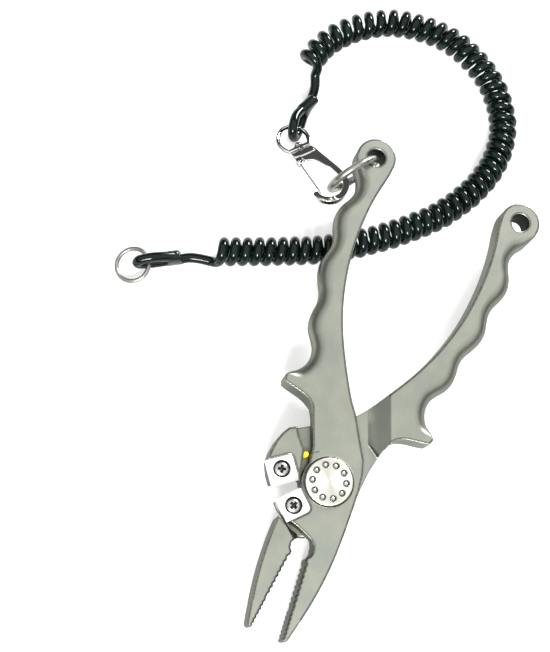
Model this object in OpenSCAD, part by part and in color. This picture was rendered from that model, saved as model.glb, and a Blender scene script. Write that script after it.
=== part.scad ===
// Open fishing pliers with replaceable side cutters, lying on a coiled lanyard
// that is clipped to a ring in the front handle.
// The pliers are drawn in their own frame: pivot at the origin, handles along +Y,
// lap face between the two halves at z = 0.  lay_down() sets that frame on the floor.

/* [Pliers] */
// Thickness of both halves at the handles and jaws
thick = 10.5; // [9.5:0.1:11]
// Radius of the lanyard hole at the end of each handle
hole_r = 3.175; // [3:0.025:3.5]
// Radius of the rounded end of each handle
head_r = 7.2; // [7:0.1:7.6]
// Angle of each jaw from the middle line when fully open
half_open = 5.5; // [5:0.1:5.5]

/* [Pivot] */
// Radius of the dimpled pivot cap
cap_r = 8.4; // [8:0.1:8.6]
// Height of the cap above the face it sits in
cap_proud = 1.1; // [0.6:0.1:1.4]
// Radius of the pivot bolt's shaft
bolt_r = 3; // [2.5:0.1:3.2]
// Number of spanner dimples in the cap
dimples = 10; // [6:1:12]

/* [Cutters] */
// Width of each cutter plate along its edge
plate_w = 9.4; // [9:0.1:9.6]
// Depth of each cutter plate behind its edge
plate_d = 9.2; // [9:0.1:9.4]
// Radius of the cutter screws' heads
screw_head_r = 2.75; // [2.5:0.05:2.8]

/* [Clip and ring] */
// Mean radius of the ring through the front handle
ring_r = 9.6; // [9.5:0.05:9.8]
// Radius of the ring's wire
ring_wire_r = 1.35; // [1.2:0.05:1.4]
// Radius of the snap hook's rod
hook_rod_r = 1.1; // [1:0.05:1.15]
// Radius of the swivel bail's wire
bail_wire_r = 0.9; // [0.8:0.05:0.95]

/* [Lanyard] */
// Diameter of the plastic-covered cord
cord_d = 3.6; // [3.4:0.1:3.6]
// Outer diameter of the coil
coil_od = 10.7; // [10.4:0.1:10.8]

/* [Hidden] */

// How the pliers lie: jaw tips on the floor, front handle on the coil
roll = 3;
pitch = 3.7;
pivot_height = 9.125;
floor_shift = [1.95, -33.38, 0];

half_thick = thick / 2;
lap_gap = 0.05;
plate_floor = 1.9;
bumper_at = [-10.6, 6.3, 0];
bumper_r = 1.1;
cord_r = cord_d / 2;
steel = "#d8dadb";
bead_blast = "#aeb4a8";
chrome_tone = "#e4e6e8";
cord_tone = "#101413";
$fn = 64;

// The floor's frame, and the pliers' own frame lying on it
module on_floor() {
    translate(floor_shift)
        children();
}

module lay_down() {
    on_floor()
        translate([0, 0, pivot_height])
            rotate([pitch, roll, 0])
                children();
}

// ---- curves ----

// Smooth curve through a list of points, n steps between neighbours
function knot(p, i) = p[max(0, min(len(p) - 1, i))];
function between(a, b, c, d, t) =
    0.5 * (2 * b + (c - a) * t + (2 * a - 5 * b + 4 * c - d) * t * t
    + (3 * b - a - 3 * c + d) * t * t * t);
function smooth(p, n) = concat(
    [for (i = [0 : len(p) - 2], j = [0 : n - 1])
        between(knot(p, i - 1), p[i], p[i + 1], knot(p, i + 2), j / n)],
    [p[len(p) - 1]]);
function arc(c, r, from, to, n) =
    [for (i = [0 : n]) let (a = from + (to - from) * i / n) c + r * [cos(a), sin(a)]];
function flip(p) = [for (i = [len(p) - 1 : -1 : 0]) [-p[i][0], p[i][1]]];

// ---- outline of the rear half; the front half mirrors its handle and jaw ----

head_at = [28.4, 114.7];

// From the horn up the finger grooves to the head
grooves = [[28, 28], [26.6, 30.3], [24.4, 32.4], [22.7, 35], [22, 38.2], [22.5, 41.4], [24.2, 44.2],
    [26.3, 47], [27.5, 50.4], [27.6, 54], [27.3, 57.6], [28, 61], [29.8, 64.4], [31.3, 68], [31.8, 71.8],
    [31.1, 75.6], [30.6, 78.8], [31.2, 82.2], [32.8, 86], [33.6, 90], [32.9, 94], [31.2, 97.6],
    [30.4, 101], [31.4, 104.6], [33.6, 108], [35.2, 111.8]];
horn_under = [[15.2, 21.8], [17.2, 23.5], [20.2, 24.6], [25.6, 25.6], [27.4, 26.2]];
palm_edge = [[21.2, 114.4], [21.6, 109.6], [22.6, 104], [23.4, 97], [23.6, 89], [23.2, 81], [22.2, 73],
    [20.4, 65], [17.9, 57], [14.8, 49.6], [11, 42.2], [6.8, 34.9], [3.2, 29.2], [0.2, 25.4]];
jaw_back = [[-11.7, -18], [-11.7, -24], [-11.2, -32], [-10.2, -40], [-8.9, -47], [-7.5, -53.8]];
jaw_tip = [[-6.9, -54.8], [-5.9, -55]];

// A place on the rear jaw's gripping line: s from the pivot, d into the metal
function grip(s, d) = [-s * sin(half_open) - d * cos(half_open), d * sin(half_open) - s * cos(half_open)];
grip_clear = 0.1;
coarse_pitch = 2;
fine_pitch = 1.6;
coarse_teeth = [for (i = [0 : 6], j = [0 : 5])
    grip(28 + coarse_pitch * (i + j / 6), grip_clear + 0.55 * sin(180 * j / 6))];
crimp_step = [grip(42, grip_clear), grip(42.6, 0.55), grip(44.4, 0.55)];
fine_teeth = [for (i = [0 : 5]) each
    [grip(45 + fine_pitch * i, grip_clear), grip(45 + fine_pitch * (i + 0.6), 0.6)]];
grip_line = concat([grip(26.7, grip_clear)], coarse_teeth, crimp_step, fine_teeth, [grip(54.6, grip_clear)]);
throat = [[0.4, -19.6], [-1.6, -20.4], [-3.2, -21.9], [-3.9, -23.8], [-3.6, -25.6]];

handle_up = concat(smooth(horn_under, 3), smooth(grooves, 4),
    arc(head_at, head_r, -10, 178, 22), smooth(palm_edge, 4));

// ---- cutters: a frame along the cutting line, s from the pivot and v behind the edge ----

edge_off = 3.2;
plate_s = 9.7;
rear_edge_turn = 38;
front_edge_turn = 49;
function rear_at(s, v) = let (a = rear_edge_turn, o = edge_off + v)
    [-s * cos(a) - o * sin(a), o * cos(a) - s * sin(a)];
function front_at(s, v) = let (a = front_edge_turn, o = edge_off - v)
    [-s * cos(a) - o * sin(a), o * cos(a) - s * sin(a)];
ear_back = 1.2;

hub_r = 9.4;
lap_r = 20.3;

rear_ear = [rear_at(plate_s, ear_back), [-10.4, 1], [-12, 6.9], [-15.4, 10.6], [-17.2, 13.3], [-19.6, 11.8],
    [-21, 9.3], [-21.9, 6.2], [-22.4, 2], rear_at(plate_s + plate_w - 0.7, plate_d),
    rear_at(plate_s + plate_w, 5), rear_at(plate_s + plate_w, ear_back)];
rear_plate = concat([[11.4, -3], [11.6, 3], [12.1, 10], [13.3, 16.5]], handle_up,
    [[-4, 22], [-9, 18], [-13.2, 16], [-17.2, 13.3], [-19.6, 11.8], [-21, 9.3], [-21.9, 6.2], [-22.4, 2],
    rear_at(plate_s + plate_w - 0.7, plate_d), rear_at(plate_s + plate_w, 5),
    rear_at(plate_s + plate_w, ear_back), rear_at(plate_s, ear_back)],
    arc([0, 0], hub_r, 198, 230, 5), [[-9.6, -14]], smooth(jaw_back, 3), jaw_tip,
    [for (i = [len(grip_line) - 1 : -1 : 0]) grip_line[i]],
    [for (i = [len(throat) - 1 : -1 : 0]) throat[i]], [[5, -15], [9.2, -9]]);

front_ear = [front_at(plate_s, ear_back), front_at(plate_s + plate_w + 0.6, ear_back),
    front_at(plate_s + plate_w + 0.6, 2.6), [-12, -15.8], [-7.4, -17.4], [-3.8, -18.3]];
front_plate = concat(flip(handle_up), [[-12.8, 16], [-9.8, 9], [-9.1, 5]],
    arc([0, 0], hub_r, 160, 206, 5), front_ear, flip([for (i = [len(throat) - 1 : -1 : 0]) throat[i]]),
    flip([for (i = [len(grip_line) - 1 : -1 : 0]) grip_line[i]]), flip(jaw_tip), flip(smooth(jaw_back, 3)),
    [[11.5, -12], [11.1, -4], [10.7, 1.5], [9.9, 7], [8.4, 11.6], [5.8, 15.6]]);

// ---- the two halves ----

// Slab of an outline between two heights
module slab(outline, low, high) {
    translate([0, 0, low])
        linear_extrude(high - low)
            polygon(outline);
}

// Everything above a plane that rises from a foot point p, at z = 0, along turn
module ramp_cut(p, turn, run, side) {
    translate([p[0], p[1], 0])
        rotate([0, 0, turn])
            rotate([0, -atan(half_thick / run), 0])
                translate([-20, -side, 0])
                    cube([40, 2 * side, 20]);
}

module pivot_bores(side, bore_r) {
    translate([0, 0, -thick])
        cylinder(h = 2 * thick, r = bore_r);
    translate([0, 0, side * (half_thick + 2) - 3.6])
        cylinder(h = 7.2, r = cap_r + 0.1);
    translate([0, 0, -0.45])
        cylinder(h = 0.9, r = 7.6);
}

module head_bore(x) {
    translate([x, head_at[1], -thick])
        cylinder(h = 2 * thick, r = hole_r);
}

// Frames of the two cutter plates: x along the edge, y behind it
module rear_cutter_place() {
    rotate([0, 0, rear_edge_turn + 180])
        mirror([0, 1, 0])
            translate([plate_s, edge_off, 0])
                children();
}

module front_cutter_place() {
    rotate([0, 0, front_edge_turn + 180])
        translate([plate_s, -edge_off, 0])
            children();
}

screw_at = [4.7, 5.1];
plate_plan = concat([[plate_w, 0], [plate_w, plate_d]], arc([1.6, plate_d - 1.6], 1.6, 90, 180, 6), [[0, 0]]);
pocket_plan = [for (p = plate_plan) [p[0] + (p[0] > plate_w / 2 ? 3 : -0.03),
    p[1] > 0 ? p[1] + 0.03 : -4]];

// Room for a plate and its screw; the screw's shank goes down to bottom
module cutter_room(bottom) {
    slab(pocket_plan, plate_floor, thick);
    translate([screw_at[0], screw_at[1], bottom])
        cylinder(h = thick, r = 1.5);
}

module cutter_plate() {
    difference() {
        intersection() {
            slab(plate_plan, plate_floor, half_thick);
            rotate([90, 0, 90])
                linear_extrude(plate_w)
                    polygon([[0.05, 2.9], [1, half_thick], [plate_d, half_thick], [plate_d, plate_floor],
                        [ear_back - 0.2, plate_floor]]);
        }
        translate([screw_at[0], screw_at[1], 0])
            cylinder(h = thick, r = 1.6);
        translate([screw_at[0], screw_at[1], half_thick - 2.1])
            cylinder(h = thick, r = screw_head_r + 0.25);
    }
}

module cutter_screw(bottom) {
    translate([screw_at[0], screw_at[1], 0])
        difference() {
            union() {
                translate([0, 0, bottom])
                    cylinder(h = half_thick - 1 - bottom, r = 1.5);
                translate([0, 0, half_thick - 2.1])
                    cylinder(h = 1.8, r = screw_head_r);
            }
            for (turn = [20, 110])
                rotate([0, 0, turn])
                    translate([-1.6, -0.35, half_thick - 1.4])
                        cube([3.2, 0.7, 2]);
        }
}

front_screw_end = 0.4;
rear_screw_end = -3.2;

module front_half() {
    color(bead_blast)
    lay_down() difference() {
        union() {
            slab(front_plate, lap_gap, half_thick);
            difference() {
                slab(front_plate, -half_thick, 0.5);
                translate([0, 0, lap_gap - thick])
                    cylinder(h = thick, r = lap_r);
                translate([0, 0, lap_gap - thick])
                    linear_extrude(thick)
                        polygon([[-30, -40], [-2, -40], [-2, -12], [30, -12], [30, 31], [-0.2, 31],
                            [-15, 17.3], [-30, 17.3]]);
                mirror([0, 0, 1])
                    ramp_cut([-9, 22.8], 132.8, 6, 14);
                mirror([0, 0, 1])
                    ramp_cut([6.8, -17], 308.3, 2.6, 9);
            }
        }
        pivot_bores(1, bolt_r);
        head_bore(-head_at[0]);
        front_cutter_place()
            cutter_room(front_screw_end);
    }
}

module rear_half() {
    color(bead_blast)
    lay_down() difference() {
        union() {
            slab(rear_plate, -half_thick, -lap_gap);
            slab(rear_ear, -0.5, half_thick);
            difference() {
                slab(rear_plate, -0.5, half_thick);
                translate([0, 0, -lap_gap])
                    cylinder(h = thick, r = lap_r);
                translate([0, 0, -lap_gap])
                    linear_extrude(thick)
                        polygon([[-30, -12], [30, -12], [30, 10.6], [11.3, 10.6],
                            [3.4, 30.2], [0, 41], [-30, 41]]);
                ramp_cut([3.4, 30.2], 22, 7.3, 20);
                ramp_cut([-6.8, -17], 231.7, 2.6, 9);
            }
        }
        pivot_bores(-1, bolt_r + 1);
        head_bore(head_at[0]);
        rear_cutter_place()
            cutter_room(rear_screw_end);
        translate([bumper_at[0], bumper_at[1], -3])
            cylinder(h = 3, r = bumper_r);
    }
}

// ---- pivot ----

module pivot_bolt() {
    color(steel)
    lay_down() {
        translate([0, 0, -half_thick - cap_proud])
            cylinder(h = cap_proud + 1.5, r = cap_r);
        translate([0, 0, -half_thick])
            cylinder(h = thick - 0.6, r = bolt_r);
    }
}

module pivot_cap() {
    color(steel)
    lay_down() difference() {
        translate([0, 0, half_thick - 1.6])
            cylinder(h = 1.6 + cap_proud, r = cap_r);
        translate([0, 0, 0])
            cylinder(h = half_thick - 0.6, r = bolt_r);
        for (i = [0 : dimples - 1])
            rotate([0, 0, 17 + 360 * i / dimples])
                translate([0.7 * cap_r, 0, half_thick + cap_proud - 0.6])
                    cylinder(h = 2, r = 1);
    }
}

module pivot_bush() {
    color("#b08d57")
    lay_down() difference() {
        translate([0, 0, 0.05 - half_thick + 1.6])
            cylinder(h = half_thick - 1.6 - 0.5, r = bolt_r + 1);
        translate([0, 0, -thick])
            cylinder(h = thick, r = bolt_r + 0.05);
    }
}

module thrust_washer() {
    color("#b08d57")
    lay_down() difference() {
        translate([0, 0, -0.4])
            cylinder(h = 0.85, r = 7.4);
        translate([0, 0, -1])
            cylinder(h = 2, r = bolt_r + 0.1);
    }
}

module opening_bumper() {
    color("#f2d21c")
    lay_down()
        translate([bumper_at[0], bumper_at[1], -3])
            cylinder(h = 5.6, r = bumper_r);
}

// ---- cutters ----

module front_cutter() {
    color(steel)
    lay_down()
        front_cutter_place()
            cutter_plate();
}

module rear_cutter() {
    color(steel)
    lay_down()
        rear_cutter_place()
            cutter_plate();
}

module front_cutter_screw() {
    color(steel)
    lay_down()
        front_cutter_place()
            cutter_screw(front_screw_end);
}

module rear_cutter_screw() {
    color(steel)
    lay_down()
        rear_cutter_place()
            cutter_screw(rear_screw_end);
}

// ---- ring through the front handle ----

// The ring stands upright in the bore and leans out past the head
ring_turn = 235;
ring_reach = 9.1;

module torus(r, wire) {
    rotate_extrude()
        translate([r, 0])
            circle(wire, $fn = 32);
}

module handle_ring() {
    color(steel)
    lay_down()
        translate([-head_at[0], head_at[1], 0])
            rotate([0, 0, ring_turn])
                translate([ring_reach, 0, 0])
                    rotate([90, 0, 0])
                        torus(ring_r, ring_wire_r);
}

// ---- swept tubes ----

function unit(v) = v / norm(v);
function along(p, i) = unit(knot(p, i + 1) - knot(p, i - 1));
function ring_at(p, i, r, n) =
    let (t = along(p, i), side = unit(cross(t, abs(t[2]) > 0.9 ? [1, 0, 0] : [0, 0, 1])), lift = cross(side, t))
    [for (k = [0 : n - 1]) p[i] + r * (cos(360 * k / n) * lift + sin(360 * k / n) * side)];

// Round tube of n sides through the points p
module tube(p, r, n) {
    last = len(p) - 1;
    polyhedron(
        [for (i = [0 : last]) each ring_at(p, i, r, n)],
        concat([[for (k = [0 : n - 1]) k]],
            [for (i = [0 : last - 1], k = [0 : n - 1])
                [i * n + k, (i + 1) * n + k, (i + 1) * n + (k + 1) % n, i * n + (k + 1) % n]],
            [[for (k = [n - 1 : -1 : 0]) last * n + k]]));
}

// ---- snap hook, in its own frame: +x from the swivel to the nose end ----

clip_at = [-52.9, 111.2, 8.4];
clip_yaw = -39.7;
clip_rise = 16;
pin_at = [3.1, -3.4];
post_r = 1.05;
hook_route = [[0.6, 3.6, 0], [7, 5.3, 0], [13.3, 6.8, 0], [17.8, 7.1, 0], [21.2, 5.7, 0], [23.6, 2.6, 0],
    [23.7, -1, 0], [21.9, -4, 0], [19.8, -5.1, 0], [18.1, -5.2, 0]];
bail_route = [[-2.9, -3.9, 0], [-5.2, -5.3, 0], [-8.4, -5.7, 0], [-11.4, -4.4, 0], [-13.8, -1.6, 0],
    [-13.8, 1.6, 0], [-11.4, 4.4, 0], [-8.4, 5.7, 0], [-5.2, 5.3, 0], [-2.9, 3.9, 0]];

module clip_frame() {
    on_floor()
        translate(clip_at)
            rotate([0, -clip_rise, clip_yaw])
                children();
}

module hook_body() {
    color(chrome_tone)
    clip_frame() difference() {
        union() {
            tube(smooth(hook_route, 3), hook_rod_r, 10);
            translate([-1.4, -4.3, -1.5])
                cube([3, 8.6, 3]);
            translate([1.4, pin_at[1], -1.5])
                intersection() {
                    cylinder(h = 3, r = 3);
                    translate([0, -0.9, 0])
                        cube([3.2, 2.6, 3]);
                }
        }
        translate([pin_at[0] - 1.5, -8, -0.75])
            cube([4, 8.5, 1.5]);
        translate([pin_at[0], pin_at[1], -3])
            cylinder(h = 6, r = 0.5);
        translate([-3, 0, 0])
            rotate([0, 90, 0])
                cylinder(h = 8, r = post_r);
    }
}

module hook_gate() {
    color(chrome_tone)
    clip_frame() difference() {
        union() {
            translate([pin_at[0], pin_at[1], -0.45])
                cylinder(h = 0.9, r = 1.1);
            translate([pin_at[0], pin_at[1] - 0.3, -0.45])
                cube([15.6, 0.8, 0.9]);
        }
        translate([pin_at[0], pin_at[1], -3])
            cylinder(h = 6, r = 0.55);
    }
}

module gate_pin() {
    color(chrome_tone)
    clip_frame()
        translate([pin_at[0], pin_at[1], -1.6])
            cylinder(h = 3.2, r = 0.5);
}

module gate_spring() {
    color(steel)
    clip_frame()
        translate([pin_at[0], pin_at[1], 0.6])
            torus(0.8, 0.12);
}

module swivel_post() {
    color(chrome_tone)
    clip_frame()
        rotate([0, 90, 0]) {
            translate([0, 0, -4.2])
                cylinder(h = 5.6, r = post_r);
            translate([0, 0, -4.9])
                cylinder(h = 1.25, r = 1.9);
        }
}

module swivel_washer() {
    color(steel)
    clip_frame()
        rotate([0, 90, 0])
            difference() {
                translate([0, 0, -1.95])
                    cylinder(h = 0.5, r = 2);
                translate([0, 0, -3])
                    cylinder(h = 3, r = 1.1);
            }
}

module swivel_bail() {
    color(chrome_tone)
    clip_frame() difference() {
        union() {
            tube(smooth(bail_route, 2), bail_wire_r, 8);
            translate([-3.6, -4.3, -1.4])
                cube([1.6, 8.6, 2.8]);
        }
        translate([-8, 0, 0])
            rotate([0, 90, 0])
                cylinder(h = 8, r = post_r + 0.05);
    }
}

// ---- lanyard: the coil lies on the floor, an eye at each end ----

eye_route = [[-59, 133.2, 1.9], [-58.9, 129, 1.85], [-58.5, 124.8, 1.85], [-58.3, 121, 2],
    [-58.5, 118.7, 3], [-59.2, 117.9, 5], [-60, 118.8, 7.1], [-60.7, 121.2, 8.1], [-61.1, 125, 7.4],
    [-60.4, 129, 6], [-59.9, 132.4, 5.6]];
tail_route = [[-59, 133.2, 1.9], [-58.9, 138.2, 1.9], [-59.8, 143, 2.1], [-61.4, 146.4, 2.8],
    [-63, 148.6, 3.8]];
coil_route = [[-64.8, 148], [-63.3, 155.6], [-59.1, 163.8], [-52, 171.6], [-41.8, 178.2], [-29.8, 181],
    [-17.8, 180.6], [-7.4, 176.6], [1.8, 170.2], [8.7, 161.6], [12.9, 151.6], [13.6, 139], [9.8, 125.2],
    [2.7, 112.4], [-6.4, 101.8], [-16, 92.8], [-25.6, 85.2], [-35.2, 79.2], [-45.4, 74], [-55.6, 69.2],
    [-68.4, 63.2]];
end_tail_route = [[-67.8, 63.8, 3.6], [-70.9, 61.9, 2.2], [-74.9, 59.3, 1.9], [-78.9, 56.7, 1.9]];
end_eye_route = [[-78.9, 56.7, 1.9], [-82.8, 54.2, 1.85], [-86.8, 51.6, 1.85], [-90, 49.5, 2.3],
    [-91.6, 48.5, 4.8], [-90, 49.5, 7.2], [-86.8, 51.6, 7.8], [-83.2, 53.9, 6.9], [-79.8, 56.1, 5.6]];

function lift(p, z) = [for (q = p) [q[0], q[1], z]];

module lanyard_eye() {
    color(cord_tone)
    on_floor()
        tube(smooth(eye_route, 2), cord_r, 8);
}

module lanyard_tail() {
    color(cord_tone)
    on_floor()
        tube(smooth(tail_route, 1), cord_r, 8);
}

module lanyard_coil() {
    color(cord_tone)
    on_floor()
        tube(smooth(lift(coil_route, coil_od / 2), 2), coil_od / 2, 12);
}

// Sleeve pressed over the two strands of an eye
module sleeve(corners) {
    hull()
        for (c = corners)
            translate(c)
                sphere(2.15, $fn = 20);
}

module lanyard_sleeve() {
    color(cord_tone)
    on_floor()
        sleeve([[-58.9, 129.2, 2.2], [-60.2, 129.4, 5.6], [-59, 133.6, 2.2], [-59.8, 132.8, 5.2]]);
}

module end_tail() {
    color(cord_tone)
    on_floor()
        tube(smooth(end_tail_route, 2), cord_r, 8);
}

module end_eye() {
    color(cord_tone)
    on_floor()
        tube(smooth(end_eye_route, 2), cord_r, 8);
}

module end_sleeve() {
    color(cord_tone)
    on_floor()
        sleeve([[-81.9, 54.8, 2.2], [-81.6, 55, 5.8], [-78.5, 57, 2.2], [-79.3, 56.5, 5.2]]);
}

end_ring_at = [-88.1, 50.75, 4.8];
end_ring_r = 6;
end_ring_wire_r = 0.8;

module end_ring() {
    color(steel)
    on_floor()
        translate(end_ring_at)
            rotate([0, 0, 213])
                rotate([0, 19.3, 0])
                    translate([end_ring_r, 0, 0])
                        torus(end_ring_r, end_ring_wire_r);
}

front_half();
rear_half();
pivot_bolt();
pivot_cap();
pivot_bush();
thrust_washer();
front_cutter();
rear_cutter();
front_cutter_screw();
rear_cutter_screw();
opening_bumper();
handle_ring();
hook_body();
hook_gate();
gate_pin();
gate_spring();
swivel_bail();
swivel_post();
swivel_washer();
lanyard_eye();
lanyard_sleeve();
lanyard_tail();
lanyard_coil();
end_tail();
end_sleeve();
end_eye();
end_ring();
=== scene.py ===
"""Open fishing pliers on a coiled lanyard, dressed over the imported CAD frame."""
import math

import bmesh
import bpy
import numpy as np
from mathutils import Matrix, Vector
from mathutils.kdtree import KDTree


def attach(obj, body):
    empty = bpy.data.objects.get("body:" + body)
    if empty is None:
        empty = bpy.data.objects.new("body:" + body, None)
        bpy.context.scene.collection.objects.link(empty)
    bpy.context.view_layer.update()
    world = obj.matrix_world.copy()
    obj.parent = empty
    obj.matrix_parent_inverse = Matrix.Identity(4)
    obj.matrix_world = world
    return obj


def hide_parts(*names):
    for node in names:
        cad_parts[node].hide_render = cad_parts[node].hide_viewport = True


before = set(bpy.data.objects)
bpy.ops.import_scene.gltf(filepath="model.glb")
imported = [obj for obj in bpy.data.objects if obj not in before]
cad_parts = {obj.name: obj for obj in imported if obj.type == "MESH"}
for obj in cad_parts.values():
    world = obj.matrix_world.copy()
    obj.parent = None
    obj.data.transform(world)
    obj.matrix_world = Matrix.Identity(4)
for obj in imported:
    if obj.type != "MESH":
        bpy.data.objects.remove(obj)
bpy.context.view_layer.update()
MM = 0.001

# ---- the pliers' own frame: pivot at the origin, handles along +Y, lap face at z = 0 ----

FLOOR_SHIFT = Vector((1.95, -33.38, 0.0))
PIVOT_HEIGHT = 9.125
ROLL, PITCH = math.radians(3), math.radians(3.7)
LIE = (
    Matrix.Scale(MM, 4)
    @ Matrix.Translation(FLOOR_SHIFT + Vector((0, 0, PIVOT_HEIGHT)))
    @ Matrix.Rotation(ROLL, 4, "Y")
    @ Matrix.Rotation(PITCH, 4, "X")
)
ON_FLOOR = Matrix.Scale(MM, 4) @ Matrix.Translation(FLOOR_SHIFT)
HALF_THICK = 5.25
HEAD = (28.4, 114.7)
CAP_R, CAP_PROUD, DIMPLES = 8.4, 1.1, 10

# ---- the snap hook's frame: x from the swivel to the nose ----

CLIP_AT = Vector((-52.9, 111.2, 8.4))
CLIP = (
    ON_FLOOR
    @ Matrix.Translation(CLIP_AT)
    @ Matrix.Rotation(math.radians(-39.7), 4, "Z")
    @ Matrix.Rotation(math.radians(-16), 4, "Y")
)

FRONT, REAR = "front_and_lanyard", "rear_arm"


# ---- camera, steep above the jaws, looking towards the handles ----

CAMERA_AT = (-28.6, -160.52, 509.05)
CAMERA_FORWARD = (-0.0131, 0.3260, -0.9453)
CAMERA_UP = (-0.3913, 0.8683, 0.3049)
CAMERA_LENS = 55.32


def make_camera():
    data = bpy.data.cameras.new("camera")
    data.sensor_fit = "VERTICAL"
    data.sensor_height = 24.0
    data.lens = CAMERA_LENS
    data.clip_start = 0.01
    data.clip_end = 20
    cam = bpy.data.objects.new("camera", data)
    bpy.context.scene.collection.objects.link(cam)
    forward = Vector(CAMERA_FORWARD).normalized()
    right = forward.cross(Vector(CAMERA_UP)).normalized()
    up = right.cross(forward)
    turn = Matrix((right, up, -forward)).transposed().to_4x4()
    cam.matrix_world = Matrix.Translation(Vector(CAMERA_AT) * MM) @ turn
    bpy.context.scene.camera = cam


# ---- materials ----

class Nodes:
    """A principled material with short ways to add texture nodes."""

    def __init__(self, name, **constants):
        self.mat = bpy.data.materials.new(name)
        self.mat.use_nodes = True
        self.tree = self.mat.node_tree
        self.shader = self.tree.nodes["Principled BSDF"]
        for key, value in constants.items():
            self.shader.inputs[key.replace("_", " ")].default_value = value
        self.coord = self.add("ShaderNodeTexCoord").outputs["Object"]

    def add(self, kind, **settings):
        node = self.tree.nodes.new(kind)
        for key, value in settings.items():
            setattr(node, key, value)
        return node

    def link(self, a, b):
        self.tree.links.new(a, b)

    def noise(self, scale, detail, rough, stretch=None):
        node = self.add("ShaderNodeTexNoise")
        node.inputs["Scale"].default_value = scale
        node.inputs["Detail"].default_value = detail
        node.inputs["Roughness"].default_value = rough
        self.link(self.stretched(stretch) if stretch else self.coord, node.inputs["Vector"])
        return node.outputs["Fac"]

    def stretched(self, scale):
        node = self.add("ShaderNodeMapping")
        node.inputs["Scale"].default_value = scale
        self.link(self.coord, node.inputs["Vector"])
        return node.outputs["Vector"]

    def ramp(self, fac, stops):
        node = self.add("ShaderNodeValToRGB")
        ramp = node.color_ramp
        while len(ramp.elements) < len(stops):
            ramp.elements.new(0.5)
        for element, (place, colour) in zip(ramp.elements, stops):
            element.position = place
            element.color = (*colour, 1)
        self.link(fac, node.inputs["Fac"])
        return node.outputs["Color"]

    def mix(self, a, b, fac, how="MIX"):
        node = self.add("ShaderNodeMix", data_type="RGBA", blend_type=how)
        for socket, value in ((node.inputs[0], fac), (node.inputs[6], a), (node.inputs[7], b)):
            if hasattr(value, "is_linked"):
                self.link(value, socket)
            else:
                socket.default_value = (*value, 1) if isinstance(value, tuple) else value
        return node.outputs[2]

    def colour(self, socket):
        self.link(socket, self.shader.inputs["Base Color"])

    def roughness(self, fac, low, high):
        node = self.add("ShaderNodeMapRange")
        node.inputs["To Min"].default_value = low
        node.inputs["To Max"].default_value = high
        self.link(fac, node.inputs["Value"])
        self.link(node.outputs["Result"], self.shader.inputs["Roughness"])

    def bump(self, heights):
        last = None
        for height, depth, strength in heights:
            node = self.add("ShaderNodeBump")
            node.inputs["Strength"].default_value = strength
            node.inputs["Distance"].default_value = depth * MM
            self.link(height, node.inputs["Height"])
            if last:
                self.link(last, node.inputs["Normal"])
            last = node.outputs["Normal"]
        self.link(last, self.shader.inputs["Normal"])


def grey(value):
    return (value,) * 3


def blasted_metal():
    """Fine bead-blasted alloy: green grey, faint stains, small dark nicks, and painted shade with a scribed
    line from the mesh's colour attribute.
    """
    m = Nodes("bead_blasted_alloy", Metallic=1.0, Specular_Tint=(0.45, 0.45, 0.45, 1))
    broad = m.noise(28, 3, 0.5)
    stain = m.noise(120, 5, 0.65)
    grain = m.noise(5200, 2, 0.6)
    base = m.ramp(broad, [(0.3, (0.245, 0.258, 0.224)), (0.7, (0.275, 0.287, 0.257))])
    warm = m.ramp(stain, [(0.35, (0.93, 0.95, 0.95)), (0.68, (1.04, 1.02, 0.95))])
    tone = m.mix(base, warm, 1.0, "MULTIPLY")
    nick = m.add("ShaderNodeTexVoronoi")
    nick.inputs["Scale"].default_value = 75
    m.link(m.coord, nick.inputs["Vector"])
    dots = m.ramp(nick.outputs["Distance"], [(0.012, grey(0.35)), (0.03, grey(1.0))])
    tone = m.mix(tone, dots, 0.8, "MULTIPLY")
    speck = m.ramp(grain, [(0.3, grey(0.84)), (0.7, grey(1.1))])
    tone = m.mix(tone, speck, 0.7, "MULTIPLY")
    # colour attribute from the mesh: painted shade on walls, rounds, edges and bore, and a real scribed
    # line
    tone_shift = m.add("ShaderNodeAttribute", attribute_name="tone_shift")
    m.colour(m.mix(tone, tone_shift.outputs["Color"], 1.0, "MULTIPLY"))
    m.roughness(stain, 0.36, 0.46)
    m.bump([(grain, 0.012, 0.35), (stain, 0.03, 0.12)])
    return m.mat


TURNED_COLOUR, TURNED_WORN, TURNED_ROUGH = (0.74, 0.74, 0.66), 0.9, (0.23, 0.36)
# painted highlight and shade: a bow-tie fan of lighter and darker wedges by angle around the piece's axis
PAINTED_HIGHLIGHT_FAN = ((0.0, 0.8), (0.16, 1.0), (0.36, 0.62), (0.5, 0.8), (0.66, 1.0), (0.86, 0.62), (1.0, 0.8))


def turned_steel():
    """Lathe-turned steel: fine rings, and a painted highlight, a fan of light and dark, around the piece's
    own axis.
    """
    m = Nodes("turned_bright_steel", Metallic=0.9, Anisotropic=0.6)
    rings = m.add("ShaderNodeTexWave", wave_type="RINGS", rings_direction="SPHERICAL")
    rings.inputs["Scale"].default_value = 1500
    rings.inputs["Distortion"].default_value = 0.6
    rings.inputs["Detail"].default_value = 2
    m.link(m.coord, rings.inputs["Vector"])
    smear = m.noise(260, 4, 0.6)
    around = m.add("ShaderNodeTexGradient", gradient_type="RADIAL")
    m.link(m.coord, around.inputs["Vector"])
    # painted highlight: the fan multiplied into the colour
    fan = m.ramp(around.outputs["Fac"], [(place, grey(tone)) for place, tone in PAINTED_HIGHLIGHT_FAN])
    plain = m.mix(TURNED_COLOUR, tuple(c * TURNED_WORN for c in TURNED_COLOUR), smear)
    m.colour(m.mix(plain, fan, 0.8, "MULTIPLY"))
    m.roughness(smear, *TURNED_ROUGH)
    m.bump([(rings.outputs["Fac"], 0.01, 0.25)])
    tangent = m.add("ShaderNodeTangent", direction_type="RADIAL", axis="Z")
    m.link(tangent.outputs["Tangent"], m.shader.inputs["Tangent"])
    return m.mat


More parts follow.
